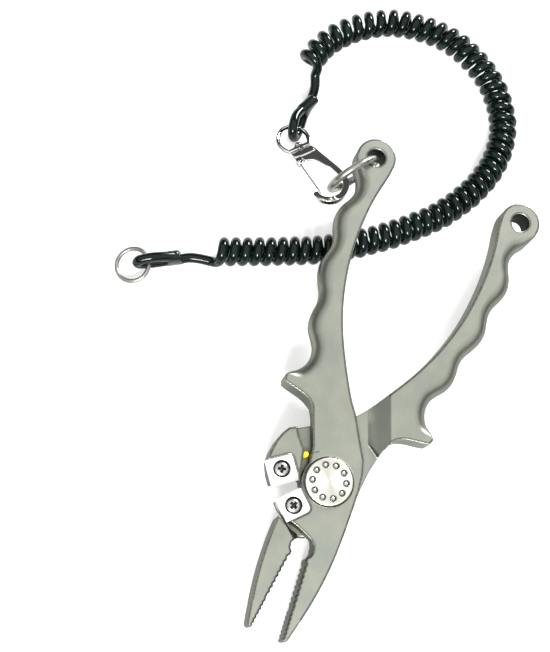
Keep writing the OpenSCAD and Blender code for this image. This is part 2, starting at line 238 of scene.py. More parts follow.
def ground_steel():
    """Cutter plates: bright, with fine lines from grinding in one direction."""
    m = Nodes("ground_tool_steel", Metallic=0.45)
    lines = m.noise(900, 3, 0.7, stretch=(0.08, 1.0, 1.0))
    smear = m.noise(180, 3, 0.5)
    m.colour(m.ramp(smear, [(0.3, (0.72, 0.72, 0.7)), (0.7, (0.8, 0.8, 0.78))]))
    m.roughness(lines, 0.3, 0.42)
    m.bump([(lines, 0.008, 0.25)])
    return m.mat


def screw_steel():
    m = Nodes("machined_screw_steel", Metallic=0.95)
    smear = m.noise(900, 4, 0.6)
    m.colour(m.ramp(smear, [(0.3, (0.32, 0.32, 0.3)), (0.7, (0.55, 0.55, 0.53))]))
    m.roughness(smear, 0.2, 0.36)
    m.bump([(smear, 0.01, 0.2)])
    return m.mat


def ring_steel():
    """Satin wire: broad tarnish with small rubs over it."""
    m = Nodes("satin_ring_wire", Metallic=0.95)
    tone_shift = m.noise(420, 5, 0.7)
    broad = m.noise(60, 2, 0.5)
    tarnish = m.ramp(broad, [(0.3, (0.24, 0.245, 0.22)), (0.7, (0.37, 0.37, 0.335))])
    rubs = m.ramp(tone_shift, [(0.35, grey(0.85)), (0.65, grey(1.1))])
    m.colour(m.mix(tarnish, rubs, 1.0, "MULTIPLY"))
    m.roughness(tone_shift, 0.24, 0.42)
    m.bump([(tone_shift, 0.02, 0.25)])
    return m.mat


def bright_plate():
    """Plated zinc of the snap hook: mirror bright with faint waves and pits."""
    m = Nodes("bright_plated_zinc", Metallic=1.0)
    wave = m.noise(150, 2, 0.5)
    pits = m.noise(1600, 3, 0.7)
    m.colour(m.ramp(wave, [(0.3, (0.62, 0.62, 0.6)), (0.7, (0.72, 0.72, 0.69))]))
    m.roughness(pits, 0.06, 0.15)
    m.bump([(wave, 0.06, 0.12), (pits, 0.008, 0.12)])
    return m.mat


def yellow_nylon():
    m = Nodes("yellow_nylon", Subsurface_Weight=0.15, Subsurface_Scale=0.002)
    cloud = m.noise(450, 3, 0.5)
    m.colour(m.ramp(cloud, [(0.35, (0.95, 0.7, 0.02)), (0.7, (0.98, 0.85, 0.05))]))
    m.roughness(cloud, 0.32, 0.46)
    m.bump([(cloud, 0.02, 0.2)])
    return m.mat


def cord_plastic():
    """Glossy black skin with a faint green depth and dusty scuffs."""
    m = Nodes("glossy_black_cord", Specular_IOR_Level=0.22)
    broad = m.noise(70, 2, 0.5)
    scuff = m.noise(1500, 5, 0.75)
    depth = m.ramp(broad, [(0.3, (0.001, 0.003, 0.0025)), (0.7, (0.002, 0.007, 0.0055))])
    dust = m.ramp(scuff, [(0.64, grey(0.0)), (0.82, (0.025, 0.03, 0.028))])
    m.colour(m.mix(depth, dust, 1.0, "ADD"))
    m.roughness(scuff, 0.07, 0.2)
    m.bump([(scuff, 0.012, 0.15), (broad, 0.05, 0.1)])
    return m.mat


def sleeve_plastic():
    m = Nodes("shrunk_black_sleeve", Specular_IOR_Level=0.25)
    crease = m.noise(700, 4, 0.6, stretch=(1.0, 0.35, 1.0))
    m.colour(m.ramp(crease, [(0.3, (0.002, 0.004, 0.0035)), (0.7, (0.005, 0.009, 0.008))]))
    m.roughness(crease, 0.14, 0.26)
    m.bump([(crease, 0.05, 0.35)])
    return m.mat


def bearing_bronze():
    m = Nodes("bearing_bronze", Metallic=1.0)
    smear = m.noise(500, 3, 0.6)
    m.colour(m.ramp(smear, [(0.3, (0.5, 0.34, 0.16)), (0.7, (0.62, 0.45, 0.24))]))
    m.roughness(smear, 0.3, 0.45)
    m.bump([(smear, 0.01, 0.2)])
    return m.mat


def painted_shade_steel():
    """Painted shade: near-black steel in the spanner dimples, the screws' recesses and the plates'
    counterbores.
    """
    m = Nodes("recess_painted_shade", Metallic=0.7)
    smear = m.noise(900, 3, 0.6)
    m.colour(m.ramp(smear, [(0.3, (0.02, 0.02, 0.018)), (0.7, (0.06, 0.06, 0.055))]))
    m.roughness(smear, 0.35, 0.55)
    return m.mat


def pale_floor():
    m = Nodes("pale_floor", Roughness=0.85, Specular_IOR_Level=0.0, Emission_Color=(1, 1, 1, 1),
              Emission_Strength=0.5)
    paper = m.noise(30, 3, 0.5)
    m.colour(m.ramp(paper, [(0.3, (0.5, 0.5, 0.495)), (0.7, (0.52, 0.52, 0.515))]))
    return m.mat


# ---- mesh helpers ----

def piece(name, verts, faces, material, body, place=None, smooth=True):
    """A mesh piece from its points and faces; place, if given, moves the mesh and not the object."""
    mesh = bpy.data.meshes.new(name)
    mesh.from_pydata([tuple(v) for v in verts], [], [tuple(f) for f in faces])
    if place is not None:
        mesh.transform(place)
    mesh.update()
    obj = bpy.data.objects.new(name, mesh)
    bpy.context.scene.collection.objects.link(obj)
    mesh.materials.append(material)
    if smooth:
        mesh.shade_smooth()
    if body:
        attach(obj, body)
    return obj


def baked(obj, *modifiers):
    """Adds modifiers as (kind, settings) and bakes them into the mesh."""
    for i, (kind, settings) in enumerate(modifiers):
        mod = obj.modifiers.new(f"m{i}", kind)
        for key, value in settings.items():
            setattr(mod, key, value)
    bpy.context.view_layer.update()
    graph = bpy.context.evaluated_depsgraph_get()
    mesh = bpy.data.meshes.new_from_object(obj.evaluated_get(graph), depsgraph=graph)
    obj.modifiers.clear()
    old = obj.data
    obj.data = mesh
    bpy.data.meshes.remove(old)


def lathe(profile, steps):
    """Points and faces of an (r, z) profile turned about z."""
    verts, faces = [], []
    n = len(profile)
    for k in range(steps):
        a = math.tau * k / steps
        verts += [(r * math.cos(a), r * math.sin(a), z) for r, z in profile]
    for k in range(steps):
        j = (k + 1) % steps
        faces += [(k * n + i, j * n + i, j * n + i + 1, k * n + i + 1) for i in range(n - 1)]
    return verts, faces


def weld(obj, distance=1e-6):
    """Joins points that meet and turns all faces outwards."""
    bm = bmesh.new()
    bm.from_mesh(obj.data)
    bmesh.ops.remove_doubles(bm, verts=bm.verts, dist=distance)
    bmesh.ops.dissolve_degenerate(bm, dist=distance * 0.5, edges=bm.edges)
    bmesh.ops.recalc_face_normals(bm, faces=bm.faces)
    bm.to_mesh(obj.data)
    bm.free()


def curve_through(points, steps):
    """Catmull-Rom curve through the points."""
    p = [Vector(q) for q in points]
    out = []
    for i in range(len(p) - 1):
        a, b, c, d = p[max(i - 1, 0)], p[i], p[i + 1], p[min(i + 2, len(p) - 1)]
        for j in range(steps):
            t = j / steps
            out.append(0.5 * (2 * b + (c - a) * t + (2 * a - 5 * b + 4 * c - d) * t * t
                              + (3 * b - a - 3 * c + d) * t ** 3))
    return out + [p[-1]]


def tube_faces(rings, sides):
    """Faces of a tube with flat ends, whose points are stored ring by ring."""
    faces = []
    for i in range(rings - 1):
        for k in range(sides):
            j = (k + 1) % sides
            faces.append((i * sides + k, i * sides + j, (i + 1) * sides + j, (i + 1) * sides + k))
    faces.append(tuple(range(sides))[::-1])
    faces.append(tuple((rings - 1) * sides + k for k in range(sides)))
    return faces


def swept(points, half_widths, sides):
    """Tube with an oval section: half_widths(s) gives its two half widths, s from 0 to 1 along it."""
    verts = []
    n = len(points)
    for i, p in enumerate(points):
        t = (points[min(i + 1, n - 1)] - points[max(i - 1, 0)]).normalized()
        side = t.cross(Vector((0, 0, 1))).normalized()
        lift = side.cross(t)
        a, b = half_widths(i / (n - 1))
        for k in range(sides):
            w = math.tau * k / sides
            verts.append(p + side * (a * math.cos(w)) + lift * (b * math.sin(w)))
    return verts, tube_faces(n, sides)


def prism(outline, low, high):
    """A flat outline, given as (x, y) points, raised from low to high."""
    n = len(outline)
    verts = [(*p, low) for p in outline] + [(*p, high) for p in outline]
    faces = [tuple(range(n))[::-1], tuple(range(n, 2 * n))]
    faces += [(i, (i + 1) % n, n + (i + 1) % n, n + i) for i in range(n)]
    return verts, faces


# ---- cord: eye, tail, coil, tail, eye, one length of plastic ----

CORD_R = 1.8
COIL_R = 3.55
COIL_HEIGHT = 5.36
COIL_PITCH = 4.25
LOOSE_END, LOOSE_GAIN = 110, 7
ROUTE_STEPS, TURN_STEPS, STEPS_LEFT_OFF = 24, 16, 6
EYE = [(-57.4, 135.6, 5.1), (-58.8, 132.4, 5.5), (-60.2, 129, 6), (-61.1, 125, 7.4),
       (-60.7, 121.2, 8.1), (-60, 118.8, 7.1), (-59.2, 117.9, 5), (-58.5, 118.7, 3),
       (-58.3, 121, 2), (-58.5, 124.8, 1.85), (-58.9, 129, 1.85)]
TAIL = [(-59, 133.2, 1.9), (-58.9, 138.2, 1.9), (-59.5, 142, 2.2), (-60.9, 145, 3.9)]
COIL = [(-64.8, 148), (-63.3, 155.6), (-59.1, 163.8), (-52, 171.6), (-41.8, 178.2), (-29.8, 181),
        (-17.8, 180.6), (-7.4, 176.6), (1.8, 170.2), (8.7, 161.6), (12.9, 151.6), (13.6, 139),
        (9.8, 125.2), (2.7, 112.4), (-6.4, 101.8), (-16, 92.8), (-25.6, 85.2), (-35.2, 79.2),
        (-45.4, 74), (-55.6, 69.2), (-68.4, 63.2)]
END_TAIL = [(-68.1, 60.8, 2), (-72, 60.1, 1.9), (-75.6, 58.9, 1.9), (-78.9, 56.7, 1.9)]
END_EYE = [(-82.8, 54.2, 1.85), (-86.8, 51.6, 1.85), (-89.5, 49.9, 2.3), (-91, 48.9, 3),
           (-91.6, 48.5, 4.8), (-91, 48.9, 6.6), (-89.5, 49.9, 7.3), (-86.8, 51.6, 7.8),
           (-83.2, 53.9, 6.9), (-79.8, 56.1, 5.6)]
SLEEVE_ENDS = [[(-58.9, 129.2, 2.2), (-60.1, 129.4, 5.7)], [(-58.9, 135, 2.2), (-57.9, 134.6, 5.2)]]
END_SLEEVE_ENDS = [[(-81.9, 54.8, 2.2), (-81.6, 55, 5.8)], [(-78.5, 57, 2.2), (-79.3, 56.5, 5.2)]]


def coil_turns():
    """Left-handed helix around the coil's route, a little looser over its first LOOSE_END mm."""
    route = curve_through([(x, y, 0) for x, y in COIL], ROUTE_STEPS)
    gone = [0.0]
    for a, b in zip(route, route[1:]):
        gone.append(gone[-1] + (b - a).length)
    turns = round((gone[-1] - LOOSE_GAIN) / COIL_PITCH)
    out = []
    i = 0
    for k in range(1, turns * TURN_STEPS - STEPS_LEFT_OFF):
        phase = k / TURN_STEPS
        s = (gone[-1] - LOOSE_GAIN) * phase / turns
        loose = min(1, s / LOOSE_END)
        s += LOOSE_GAIN * loose * (2 - loose)
        while i < len(gone) - 2 and gone[i + 1] < s:
            i += 1
        t = (s - gone[i]) / (gone[i + 1] - gone[i])
        at = route[i].lerp(route[i + 1], t)
        ahead = (route[min(i + 3, len(route) - 1)] - route[max(i - 2, 0)]).normalized()
        right = Vector((ahead.y, -ahead.x, 0))
        w = math.tau * phase
        wobble = 1 + 0.012 * math.sin(2.3 * phase) + 0.01 * math.sin(5.1 * phase + 1)
        around = right * math.cos(w) + Vector((0, 0, math.sin(w)))
        out.append(at + around * COIL_R * wobble + Vector((0, 0, COIL_HEIGHT)))
    return out


def bridge(before, after):
    """Four points from the end of one run to the start of the next, smooth at both."""
    return curve_through([before[-5], before[-1], after[0], after[4]], 4)[4:8]


def cord_route():
    start = curve_through(EYE + TAIL, 4)
    turns = coil_turns()
    end = curve_through(END_TAIL + END_EYE, 4)
    route = start[:-1] + bridge(start, turns) + turns + bridge(turns, end)[1:] + end
    return [ON_FLOOR @ point for point in route]


def make_cord():
    """One bevelled curve along the whole route; returns it with the length of its centreline."""
    route = cord_route()
    data = bpy.data.curves.new("lanyard_cord", "CURVE")
    data.dimensions = "3D"
    data.bevel_depth = CORD_R * MM
    data.bevel_resolution = 6
    data.resolution_u = 2
    data.use_fill_caps = True
    line = data.splines.new("POLY")
    line.points.add(len(route) - 1)
    for point, at in zip(line.points, route):
        point.co = (*at, 1)
    length = sum((b - a).length for a, b in zip(route, route[1:]))
    cord = bpy.data.objects.new("lanyard_cord", data)
    bpy.context.scene.collection.objects.link(cord)
    data.materials.append(CORD_PLASTIC)
    line.use_smooth = True
    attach(cord, FRONT)
    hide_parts("lanyard_eye", "lanyard_tail", "lanyard_coil", "end_tail", "end_eye")
    print("cord length", round(length, 4))
    return cord, length


SLEEVE_SIDES, SLEEVE_RINGS = 28, 15
SLEEVE_WIDE, SLEEVE_COVER = 2.3, 2.15
SLEEVE_LONGER, SLEEVE_RISE = 2.2, 0.15
SQUARED = 0.75


def squared(value):
    """A sine or cosine made fuller, so that a circle comes out as a rounded square."""
    return math.copysign(abs(value) ** SQUARED, value)


def make_sleeve(name, node, ends):
    """Shrunk sleeve over the eye's two strands, each given by its point at both of the sleeve's ends."""
    (a, b), (c, d) = [[Vector(p) for p in pair] for pair in ends]
    verts = []
    axis = ((c + d) - (a + b)).normalized()
    for i in range(SLEEVE_RINGS):
        s = i / (SLEEVE_RINGS - 1)
        low, high = a.lerp(c, s), b.lerp(d, s)
        lift = (high - low).normalized()
        mid = (low + high) / 2 + axis * (SLEEVE_LONGER * (s - 0.5)) + lift * SLEEVE_RISE
        tall = (high - low).length / 2 + SLEEVE_COVER
        side = axis.cross(lift).normalized()
        mouth = 1 - 0.04 * abs(2 * s - 1) ** 4 + 0.012 * math.sin(9 * s)
        for k in range(SLEEVE_SIDES):
            w = math.tau * k / SLEEVE_SIDES
            across = side * (squared(math.cos(w)) * SLEEVE_WIDE * mouth)
            verts.append(mid + across + lift * (squared(math.sin(w)) * tall * mouth))
    faces = tube_faces(SLEEVE_RINGS, SLEEVE_SIDES)
    obj = piece(name, verts, faces, SLEEVE_PLASTIC, FRONT, ON_FLOOR)
    weld(obj)
    baked(obj, ("SUBSURF", {"levels": 1, "render_levels": 1}))
    obj.data.shade_smooth()
    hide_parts(node)
    return obj


# ---- the two halves: the CAD solid, finely remeshed, with its real edge rounds ----

VOXEL = 0.24
WALL_STEEP, WALL_BAND = 0.25, (1.2, 2.6)
# painted shade: how far the rounds darken, and a dark line painted along sharp edges
ROUND_SHADE, ROUND_SHADE_DEPTH = 0.22, 2.5
EDGE_SHADE_TONE, EDGE_SHADE_DEPTH, EDGE_SHADE_SPAN = 0.12, 0.5, (0.4, 1.0)


def rounded_half(node, name, body, outward):
    """One half with rounded edges, painted shade and a scribed line; outward is the side, 1 or -1, that its
    handle is on.
    """
    source = bpy.data.objects[node]
    mesh = source.data.copy()
    mesh.transform(LIE.inverted() @ source.matrix_world)
    obj = bpy.data.objects.new(name, mesh)
    bpy.context.scene.collection.objects.link(obj)
    baked(obj, ("REMESH", {"mode": "VOXEL", "voxel_size": VOXEL, "adaptivity": 0.0}))
    mesh = obj.data
    co = vertex_values(mesh, "co").astype(float)
    normal = vertex_values(mesh, "normal")
    # painted shade factor: 1 where unshaded, darker on the rounds and along sharp edges
    dark = np.ones(len(co))
    for top in (1, -1):
        round_edges(co, normal, dark, top, outward)
    co = smoothed(mesh, co, 2, 0.5)
    tone = painted_shade_and_scribe(co, normal, dark, outward)
    mesh.vertices.foreach_set("co", co.astype(np.float32).ravel())
    mesh.transform(LIE)
    mesh.update()
    # painted shade and the scribed line, kept as a colour attribute for the material
    paint = mesh.color_attributes.new("tone_shift", "FLOAT_COLOR", "POINT")
    colours = np.column_stack([tone, tone, tone, np.ones(len(co))])
    paint.data.foreach_set("color", colours.astype(np.float32).ravel())
    mesh.materials.clear()
    mesh.materials.append(BLASTED)
    mesh.shade_smooth()
    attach(obj, body)
    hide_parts(node)


def vertex_values(mesh, field):
    values = np.empty(len(mesh.vertices) * 3, dtype=np.float32)
    mesh.vertices.foreach_get(field, values)
    return values.reshape(-1, 3)


def wall_points(co, normal, top):
    """The side wall's points in a band below one face, found by their place seen from above."""
    height = co[:, 2] * top
    band = (height > WALL_BAND[0]) & (height < WALL_BAND[1])
    wall = np.where((np.abs(normal[:, 2]) < WALL_STEEP) & band)[0]
    tree = KDTree(len(wall))
    for i in wall:
        tree.insert(Vector((co[i, 0], co[i, 1], 0)), int(i))
    tree.balance()
    return tree


def round_edges(co, normal, dark, top, outward):
    """Moves the points near one face's outline onto a round, and paints shade on them; top is 1 or -1."""
    walls = wall_points(co, normal, top)
    for i in np.where(co[:, 2] * top > HALF_THICK - WIDE_ROUND)[0]:
        at, j, d = walls.find(Vector((co[i, 0], co[i, 1], 0)))
        if d > WIDE_ROUND:
            continue
        r = edge_round(at.x * outward, at.y, normal[j][0] * outward)
        a = r - d
        b = co[i, 2] * top - (HALF_THICK - r)
        # painted shade: a dark line along the sharp edges
        if r < NARROW_ROUND and co[i, 2] * top > HALF_THICK - EDGE_SHADE_DEPTH:
            dark[i] = EDGE_SHADE_TONE + (1 - EDGE_SHADE_TONE) * ease(d, *EDGE_SHADE_SPAN)
        if a <= 0 or b <= 0:
            continue
        # painted shade, deeper into the round
        dark[i] = 1 - ROUND_SHADE * min(1, min(a, b) / ROUND_SHADE_DEPTH)
        inward = max(a, b) / math.hypot(a, b)
        out = normal[j][:2] / max(1e-6, math.hypot(*normal[j][:2]))
        co[i, :2] += out * (a * inward - a)
        co[i, 2] += top * (b * inward - b)


def ease(x, low, high):
    t = min(1, max(0, (x - low) / (high - low)))
    return t * t * (3 - 2 * t)


EDGE_ROUND, NARROW_ROUND, WIDE_ROUND = 0.35, 0.6, 4.6
HEAD_ROUND, HEAD_REACH = 0.4, 4
TOOTH_ROUND, JAW_ROUND = 0.16, 1.0
JAW_TOP, JAW_HALF_WIDTH, JAW_TAPER = -24, 8.0, 0.02
FLAT_TO_X = 0.999
GRIP_BOTTOM, GRIP_START, GRIP_END, GRIP_SIDE = 24, (28, 33), (104, 114), (-0.2, 0.45)


def edge_round(x, y, nx):
    """Edge radius at an outline point: x and nx point away from the middle on the handle's side."""
    if math.hypot(x - HEAD[0], y - HEAD[1]) < HEAD_REACH:
        return HEAD_ROUND
    if y < JAW_TOP and abs(x) < JAW_HALF_WIDTH - JAW_TAPER * y and abs(nx) < FLAT_TO_X:
        inner = (x < 0) == (nx > 0)
        return TOOTH_ROUND if inner else JAW_ROUND
    if y > GRIP_BOTTOM:
        along = ease(y, *GRIP_START) * (1 - ease(y, *GRIP_END))
        return EDGE_ROUND + (WIDE_ROUND - EDGE_ROUND) * ease(nx, *GRIP_SIDE) * along
    return EDGE_ROUND


# painted shade: darker steep walls on jaws and handles, and a dark lanyard bore
JAW_WALL_SHADE, HANDLE_WALL_SHADE, HANDLE_FROM = 0.7, 0.95, 20
STEEP_FROM, STEEP_SPAN, STEEP_ENOUGH = 0.92, 0.6, 0.4
BORE_R, BORE_SHADE = 3.7, 0.14
SCRIBE = ((-9.3, 6.5), (-7.1, 8.2))
SCRIBE_HALF, SCRIBE_DEPTH, SCRIBE_TONE = 0.16, 0.4, 0.3


def painted_shade_and_scribe(co, normal, dark, outward):
    """Painted shade on the side walls and in the lanyard bore, and a short scribed line by the cap on the
    upper half.
    """
    steep = np.clip((STEEP_FROM - np.abs(normal[:, 2])) / STEEP_SPAN, 0, 1)
    wall = np.where(co[:, 1] > HANDLE_FROM, HANDLE_WALL_SHADE, JAW_WALL_SHADE)
    tone = np.minimum(dark, 1 - (1 - wall) * steep)
    head = np.hypot(co[:, 0] - outward * HEAD[0], co[:, 1] - HEAD[1])
    tone[(head < BORE_R) & (steep > STEEP_ENOUGH)] = BORE_SHADE
    a, b = np.array(SCRIBE[0]), np.array(SCRIBE[1])
    along = np.clip((co[:, :2] - a) @ (b - a) / ((b - a) @ (b - a)), 0, 1)
    off = np.linalg.norm(co[:, :2] - a - along[:, None] * (b - a), axis=1)
    tone[(off < SCRIBE_HALF) & (co[:, 2] > HALF_THICK - SCRIBE_DEPTH) & (outward < 0)] = SCRIBE_TONE
    return tone


def smoothed(mesh, co, times, weight):
    """The points after moving each towards the mean of its neighbours, several times over."""
    edges = np.empty(len(mesh.edges) * 2, dtype=np.int64)
    mesh.edges.foreach_get("vertices", edges)
    edges = edges.reshape(-1, 2)
    count = np.bincount(edges.ravel(), minlength=len(co)).astype(float)
    for _ in range(times):
        total = np.zeros_like(co)
        for axis in range(3):
            total[:, axis] = (np.bincount(edges[:, 0], co[edges[:, 1], axis], len(co))
                              + np.bincount(edges[:, 1], co[edges[:, 0], axis], len(co)))
        co = co + weight * (total / count[:, None] - co)
    return co


# ---- pivot ----

CAP_TOP = HALF_THICK + CAP_PROUD
CAP_RIM = CAP_R - 0.2
CAP_PROFILE = [
    (0.0, 3.7), (CAP_R, 3.7), (CAP_RIM, 3.95), (CAP_RIM, CAP_TOP - 0.5), (CAP_RIM - 0.12, CAP_TOP - 0.2),
    (CAP_RIM - 0.4, CAP_TOP - 0.03), (CAP_RIM - 0.8, CAP_TOP), (6.0, CAP_TOP), (3.0, CAP_TOP - 0.25),
    (0.5, CAP_TOP - 0.5), (0.3, CAP_TOP - 0.75), (0.0, CAP_TOP - 0.9),
]
CAP_STEP = 0.45
DIMPLE_CIRCLE, DIMPLE_START = 0.69 * CAP_R, 17
DIMPLE_PROFILE = [
    (0, CAP_TOP - 1.5), (0.7, CAP_TOP - 1.15), (0.9, CAP_TOP - 0.45), (1.34, CAP_TOP + 0.05),
    (1.34, CAP_TOP + 1), (0, CAP_TOP + 1),
]


def make_cap():
    """Cap nut with a dished face and a circle of spanner dimples."""
    fine = []
    for (r0, z0), (r1, z1) in zip(CAP_PROFILE, CAP_PROFILE[1:]):
        steps = max(1, int(abs(r1 - r0) / CAP_STEP))
        fine += [(r0 + (r1 - r0) * k / steps, z0 + (z1 - z0) * k / steps) for k in range(steps)]
    verts, faces = lathe(fine + [CAP_PROFILE[-1]], 180)
    cap = piece("turned_cap", verts, faces, TURNED, None, smooth=False)
    weld(cap, 1e-4)
    cut(cap, dimple_drills())
    cap.data.shade_smooth()
    cap.data.set_sharp_from_angle(angle=math.radians(32))
    cap.matrix_world = LIE.copy()
    shrink(cap)
    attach(cap, FRONT)
    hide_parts("pivot_cap")


def dimple_drills():
    """The dimples' shapes, in plain bright screw steel where they are shallow and painted shade where they
    are steep.
    """
    verts, faces = [], []
    for i in range(DIMPLES):
        a = math.radians(DIMPLE_START + 360 * i / DIMPLES)
        x, y = DIMPLE_CIRCLE * math.cos(a), DIMPLE_CIRCLE * math.sin(a)
        v, f = lathe(DIMPLE_PROFILE, 28)
        base = len(verts)
        verts += [(p[0] + x, p[1] + y, p[2]) for p in v]
        faces += [tuple(base + q for q in face) for face in f]
    drills = piece("drills", verts, faces, PAINTED_SHADE_STEEL, None, smooth=False)
    weld(drills, 1e-4)
    drills.data.materials.append(SCREW_STEEL)
    # painted shade on the steep faces; the shallow faces take the screw steel
    for face in drills.data.polygons:
        face.material_index = 1 if abs(face.normal.z) > 0.45 else 0
    return drills


def cut(obj, tool, **settings):
    """Takes the tool's shape out of the piece and leaves the tool's materials in the hollow."""
    boolean = {"object": tool, "operation": "DIFFERENCE", "solver": "EXACT", "material_mode": "TRANSFER"}
    baked(obj, ("BOOLEAN", {**boolean, **settings}))
    bpy.data.objects.remove(tool)


def shrink(obj):
    """Keeps the piece's own axes and puts its size into the mesh, in metres."""
    obj.data.transform(Matrix.Scale(MM, 4))
    obj.matrix_world = obj.matrix_world @ Matrix.Scale(1 / MM, 4)


def make_bolt_head():
    """The bolt's round head at the back and its plain shank."""
    low = -HALF_THICK - CAP_PROUD
    profile = [(0.0, low + 0.25), (1.9, low + 0.25), (2.2, low + 0.05), (CAP_R - 0.9, low),
               (CAP_R - 0.35, low + 0.08), (CAP_R, low + 0.5), (CAP_R, -3.76), (3.0, -3.76),
               (3.0, 3.7), (0, 3.7)]
    verts, faces = lathe(profile, 120)
    obj = piece("bolt_and_head", verts, faces, TURNED, None)
    weld(obj, 1e-4)
    obj.data.set_sharp_from_angle(angle=math.radians(30))
    obj.matrix_world = LIE.copy()
    shrink(obj)
    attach(obj, FRONT)
    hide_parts("pivot_bolt")


BUMPER_AT = (-10.6, 6.3, 0)


def make_bumper():
    """Round nylon stop peg between the halves."""
    profile = [(0.0, -2.9), (1.1, -2.9), (1.1, 1.6), (1.0, 2.1), (0.75, 2.45), (0.4, 2.58), (0.0, 2.6)]
    verts, faces = lathe(profile, 40)
    place = LIE @ Matrix.Translation(BUMPER_AT)
    obj = piece("nylon_stop", verts, faces, YELLOW, REAR, place)
    weld(obj, 1e-7)
    obj.data.set_sharp_from_angle(angle=math.radians(50))
    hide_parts("opening_bumper")


# ---- cutters ----

PLATE_REACH, EDGE_OFF = 9.7, 3.2
REAR_PLATE_TURN, FRONT_PLATE_TURN = 218, 229
SCREW = (4.7, 5.1)
SCREW_TOP = HALF_THICK - 0.2
SCREW_PROFILE = [
    (0, 2.9), (1.5, 2.9), (1.5, 3.15), (2.35, 3.15), (2.35, SCREW_TOP - 0.6), (2.25, SCREW_TOP - 0.34),
    (1.95, SCREW_TOP - 0.12), (1.5, SCREW_TOP - 0.02), (0.9, SCREW_TOP + 0.04), (0, SCREW_TOP + 0.05),
]
CROSS_TURNS, CROSS_DEEP = (20, 110), 1.35
COUNTERBORE_REACH, COUNTERBORE_FLOOR = 3.0, 2.8


def cutter_place(rear):
    """A plate's own frame, from its turn about the pivot; the rear plate's is mirrored."""
    turn = math.radians(REAR_PLATE_TURN if rear else FRONT_PLATE_TURN)
    place = LIE @ Matrix.Rotation(turn, 4, "Z")
    if rear:
        place = place @ Matrix.Scale(-1, 4, (0, 1, 0))
    return place @ Matrix.Translation((PLATE_REACH, EDGE_OFF if rear else -EDGE_OFF, 0))


def make_screw(name, node, body, rear):
    """Pan head with a cross recess, standing in the plate's counterbore."""
    verts, faces = lathe(SCREW_PROFILE, 64)
    head = piece(name, verts, faces, SCREW_STEEL, None, smooth=False)
    weld(head, 1e-4)
    cut(head, cross_tool(), use_self=True)
    head.data.transform(cutter_place(rear) @ Matrix.Translation((*SCREW, 0)))
    if rear:
        head.data.flip_normals()
    head.data.shade_smooth()
    head.data.set_sharp_from_angle(angle=math.radians(35))
    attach(head, body)
    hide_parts(node)


def cross_tool():
    """Two crossed blocks, narrower at the bottom, that cut the screw's recess."""
    slot = [(-1.6, -0.5), (1.6, -0.5), (1.6, 0.5), (-1.6, 0.5)]
    low = [(x * 0.45, y * 0.7, SCREW_TOP - CROSS_DEEP) for x, y in slot]
    high = [(x * 1.02, y * 1.1, SCREW_TOP + 0.4) for x, y in slot]
    block = ((3, 2, 1, 0), (4, 5, 6, 7), (0, 1, 5, 4), (1, 2, 6, 5), (2, 3, 7, 6), (3, 0, 4, 7))
    verts, faces = [], []
    for turn in CROSS_TURNS:
        spin = Matrix.Rotation(math.radians(turn), 4, "Z")
        base = len(verts)
        verts += [spin @ Vector(p) for p in low + high]
        faces += [tuple(base + q for q in face) for face in block]
    # the blocks carry the painted-shade steel, which the cut leaves in the recess
    return piece("cross", verts, faces, PAINTED_SHADE_STEEL, None, smooth=False)


def make_plate(name, node, body, rear):
    """Cutter plate from its CAD solid, with broken edges and painted shade in its counterbore."""
    source = bpy.data.objects[node]
    mesh = source.data.copy()
    mesh.transform(cutter_place(rear).inverted() @ source.matrix_world)
    obj = bpy.data.objects.new(name, mesh)
    bpy.context.scene.collection.objects.link(obj)
    mesh.materials.clear()
    mesh.materials.append(GROUND)
    weld(obj, 1e-4)
    flat = {"decimate_type": "DISSOLVE", "angle_limit": math.radians(1)}
    broken = {"width": 0.2, "segments": 3, "limit_method": "ANGLE", "angle_limit": math.radians(28)}
    baked(obj, ("DECIMATE", flat), ("BEVEL", broken))
    # painted shade: the counterbore faces around the screw take the near-black steel
    obj.data.materials.append(PAINTED_SHADE_STEEL)
    for face in obj.data.polygons:
        reach = max(math.dist(obj.data.vertices[v].co[:2], SCREW) for v in face.vertices)
        if reach < COUNTERBORE_REACH and face.center.z > COUNTERBORE_FLOOR:
            face.material_index = 1
    if rear:
        obj.data.flip_normals()
    obj.data.transform(cutter_place(rear))
    obj.data.shade_smooth()
    obj.data.set_sharp_from_angle(angle=math.radians(35))
    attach(obj, body)
    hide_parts(node)


# ---- ring, snap hook and swivel ----

RING_R, RING_WIRE, RING_REACH, RING_TURN = 9.6, 1.35, 9.1, 235
RING_WELD_AT, RING_WELD_WIDE, RING_WELD_HIGH = 2.2, 0.06, 0.06


def make_ring():
    """Closed wire ring with a low weld bump and slightly uneven wire."""
    at_head = LIE @ Matrix.Translation((-HEAD[0], HEAD[1], 0))
    place = (at_head @ Matrix.Rotation(math.radians(RING_TURN), 4, "Z")
             @ Matrix.Translation((RING_REACH, 0, 0)) @ Matrix.Rotation(math.radians(90), 4, "X"))
    verts, faces = [], []
    around, sides = 160, 28
    for i in range(around):
        a = math.tau * i / around
        weld_bump = RING_WELD_HIGH * math.exp(-((a - RING_WELD_AT) / RING_WELD_WIDE) ** 2)
        wire = RING_WIRE * (0.985 + 0.008 * math.sin(3 * a)) + weld_bump
        for k in range(sides):
            w = math.tau * k / sides
            r = RING_R + wire * math.cos(w)
            verts.append((r * math.cos(a), r * math.sin(a), wire * math.sin(w)))
    for i in range(around):
        j = (i + 1) % around
        for k in range(sides):
            m = (k + 1) % sides
            faces.append((i * sides + k, j * sides + k, j * sides + m, i * sides + m))
    ring = piece("wire_ring", verts, faces, RING_STEEL, "hand_ring", place)
    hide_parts("handle_ring")


